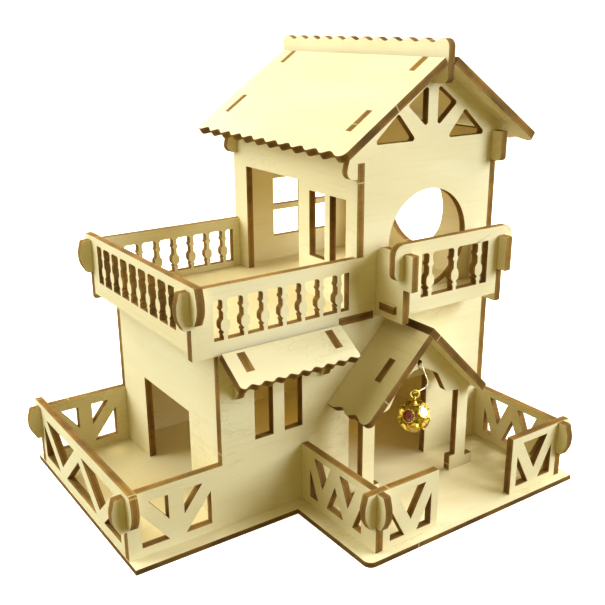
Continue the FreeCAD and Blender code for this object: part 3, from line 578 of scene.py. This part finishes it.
def cut_glass(name, light, deep, metallic):
    """Foil-backed glass with painted glints: each little facet is coloured lighter or deeper by the way it
    faces, with painted sparkle in small cells.
    """
    finish = Finish(name, 0.06, metallic)
    cells = {"Vector": finish.enlarged(1900.0), "Scale": 1.0}
    # painted sparkle and painted glint: small cells and the facets' facing lighten or deepen the colour,
    # standing in for reflections
    painted_sparkle = finish.node("ShaderNodeTexVoronoi", {}, cells, "Distance")
    painted_glint = (finish.along(finish.facing(), painted_glint_way) * painted_glint_steps).fraction()
    finish.give("Base Color", finish.mix(painted_glint * 0.7 + painted_sparkle * 0.4, light, deep))
    finish.shader.inputs["Coat Weight"].default_value = 1.0
    finish.shader.inputs["Coat Roughness"].default_value = 0.03
    return finish.material


red_glass = cut_glass("red_glass", (0.40, 0.055, 0.025), (0.13, 0.014, 0.008), 0.2)
clear_glass = cut_glass("clear_glass", (0.95, 0.95, 0.93), (0.42, 0.42, 0.45), 0.55)
amber_glass = cut_glass("amber_glass", (0.80, 0.58, 0.06), (0.46, 0.30, 0.02), 0.35)
tints = ((red_glass, clear_glass, amber_glass, red_glass, amber_glass),
         (amber_glass, red_glass, clear_glass, amber_glass, clear_glass))

# the collar on top of the ball, with a post that ends in the foot of the eye's wire
post_top = ring_middle.z - ball_middle.z - 2.7 * mm
bpy.ops.object.select_all(action="DESELECT")
bpy.ops.mesh.primitive_cylinder_add(vertices=24, radius=1.5 * mm, depth=0.3 * mm,
                                    location=(0, 0, ball - 0.35 * mm))
collar = bpy.context.object
bpy.ops.object.transform_apply(location=True, rotation=True, scale=True)
for width, level in ((0.62, ball + 0.1 * mm), (0.55, post_top)):
    top = highest(collar)
    pick(collar, lambda middle, normal: normal.z > 0.9 and middle.z > top - 0.01 * mm)
    taper_up(width, level - top)
    bpy.ops.object.mode_set(mode="OBJECT")
apply_modifier(collar, "soft_edges", "BEVEL", width=0.08 * mm, segments=2, limit_method="ANGLE")
bpy.ops.object.shade_smooth_by_angle(angle=radians(40))
collar.data.transform(Matrix.Translation(ball_middle))

# the eye: a loop of wire that crosses the ring
eye = 0.95 * mm
eye_wire = 0.25 * mm
eye_drop = 1.72 * mm        # from the ring's centre down to the eye's
eye_turn = radians(-34.5)
bpy.ops.object.select_all(action="DESELECT")
bpy.ops.mesh.primitive_torus_add(major_radius=eye, minor_radius=eye_wire,
                                 major_segments=40, minor_segments=14)
loop = bpy.context.object
bpy.ops.object.shade_smooth()
upright = Matrix.Rotation(eye_turn, 4, "Z") @ Matrix.Rotation(pi / 2, 4, "Y")
loop.data.transform(Matrix.Translation(ring_middle - Vector((0, 0, eye_drop))) @ upright)
for piece in (collar, loop):
    piece.data.materials.append(bright_gold)

# the cups and stones all round
cups = []
stones = []
for (rise, first), row in zip(stone_rows, tints):
    for count, tint in enumerate(row):
        around = radians(first + 360 / stones_in_row * count)
        out = cos(radians(rise))
        way = askew @ Vector((out * cos(around), out * sin(around), sin(radians(rise))))
        lean = Matrix.Translation(ball_middle) @ way.to_track_quat("Z", "Y").to_matrix().to_4x4()
        cups.append(copied(cup, lean))
        stones.append(copied(cut_stone, lean, tint))
for model in (cup, cut_stone):
    bpy.data.objects.remove(model)
shell = join([net, collar, loop] + cups, "bauble_shell")
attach(shell, "bauble")
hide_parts("ornament_ball")
gems = join(stones, "bauble_stones")
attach(gems, "bauble")
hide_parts("ornament_stones")

# ---------------------------------------------------------------- floor, light and camera
# A pale studio: a paper-white floor and backdrop that stay white. Square soft lamps stand
# to the left, to the right, in front and behind, and each room has a weak golden glow.

stage_reach = 4.0


def white_stage(name, glow):
    """Paper white that stays white where little light falls."""
    finish = Finish(name, 0.9)
    fibres = finish.noise(finish.enlarged(300.0))
    finish.give("Base Color", finish.mix(fibres, (0.86, 0.86, 0.86), (0.88, 0.88, 0.88)))
    finish.shader.inputs["Specular IOR Level"].default_value = 0.0
    finish.shader.inputs["Emission Color"].default_value = (1, 1, 1, 1)
    finish.shader.inputs["Emission Strength"].default_value = glow
    return finish.material


bpy.ops.object.select_all(action="DESELECT")
bpy.ops.mesh.primitive_circle_add(vertices=96, radius=stage_reach, fill_type="NGON",
                                  location=(0, 0, -0.1 * mm))
floor = bpy.context.object
floor.name = "floor"
floor.data.materials.append(white_stage("white_floor", 0.97))
floor.visible_diffuse = False

bpy.ops.object.select_all(action="DESELECT")
bpy.ops.mesh.primitive_uv_sphere_add(segments=48, ring_count=24, radius=stage_reach - 0.01)
backdrop = bpy.context.object
backdrop.name = "backdrop"
edit_all()
bpy.ops.mesh.flip_normals()
bpy.ops.object.mode_set(mode="OBJECT")
backdrop.data.materials.append(white_stage("white_backdrop", 1.1))
backdrop.visible_diffuse = False
backdrop.visible_shadow = False

world = bpy.data.worlds.new("studio")
bpy.context.scene.world = world
world.use_nodes = True
warm_air = world.node_tree.nodes["Background"]
warm_air.inputs["Color"].default_value = (1.0, 0.80, 0.21, 1)
warm_air.inputs["Strength"].default_value = 0.35

house_middle = Vector((0, 0, 0.08))
lamp_reach = 0.9


def soft_light(name, bearing, height, size, power, colour):
    """A square soft lamp, bearing degrees round from straight behind the house."""
    out = cos(radians(height))
    way = Vector((sin(radians(bearing)) * out, cos(radians(bearing)) * out, sin(radians(height))))
    lamp = bpy.data.lights.new(name, "AREA")
    lamp.size = size
    lamp.energy = power
    lamp.color = colour
    holder = bpy.data.objects.new(name, lamp)
    bpy.context.scene.collection.objects.link(holder)
    holder.location = house_middle + way * lamp_reach
    holder.rotation_euler = (-way).to_track_quat("-Z", "Y").to_euler()
    holder.visible_camera = False


# each lamp's name, bearing from straight behind, height in degrees, size, power and colour
for lamp in (("left_lamp", -57, 21, 0.6, 7.6, (0.80, 0.90, 1.0)),
             ("left_high_lamp", -60, 50, 0.5, 2.5, (1.0, 1.0, 0.8)),
             ("front_lamp", 140, 20, 0.5, 8.7, (0.80, 0.89, 1.0)),
             ("right_lamp", 97, 30, 0.5, 8.8, (1.0, 1.0, 1.0)),
             ("back_lamp", 0, 32, 0.5, 6.4, (1.0, 0.90, 0.72))):
    soft_light(*lamp)


def room_glow(name, left_wall, low, high, power):
    """The golden light that thin plywood lets into a room."""
    lamp = bpy.data.lights.new(name, "POINT")
    lamp.shadow_soft_size = 0.012
    lamp.energy = power
    lamp.color = (1.0, 0.68, 0.18)
    holder = bpy.data.objects.new(name, lamp)
    bpy.context.scene.collection.objects.link(holder)
    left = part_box(left_wall)[1][0]
    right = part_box("right_wall")[0][0]
    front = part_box("front_facade")[1][1]
    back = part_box("back_wall")[0][1]
    holder.location = ((left + right) / 2, (front + back) / 2, (low + high) / 2)
    holder.visible_camera = False


storey_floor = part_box("upper_floor")[0][2]
room_glow("lower_glow", "lower_left_wall", 0, storey_floor, 0.011)
room_glow("upper_glow", "upper_left_wall", storey_floor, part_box("upper_left_wall")[1][2], 0.008)

house_corner = Vector((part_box("lower_left_wall")[0][0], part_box("front_facade")[0][1], 0))
camera_stand = Vector((-0.126664, -0.234188, 0.174695))     # from the house's front left corner
camera_pitch = 0.32097      # radians: down, round to the right and clockwise
camera_yaw = 0.60285
camera_roll = -0.00675
lens = bpy.data.cameras.new("camera")
lens.sensor_width = 36
lens.lens = 50.5758
lens.clip_start = 0.01
camera = bpy.data.objects.new("camera", lens)
bpy.context.scene.collection.objects.link(camera)
turn = Matrix.Rotation(-camera_yaw, 4, "Z") @ Matrix.Rotation(pi / 2 - camera_pitch, 4, "X")
turn = turn @ Matrix.Rotation(camera_roll, 4, "Z")
camera.matrix_world = Matrix.Translation(house_corner + camera_stand) @ turn
bpy.context.scene.camera = camera
bpy.context.scene.view_settings.view_transform = "Standard"
bpy.context.scene.view_settings.gamma = 0.85
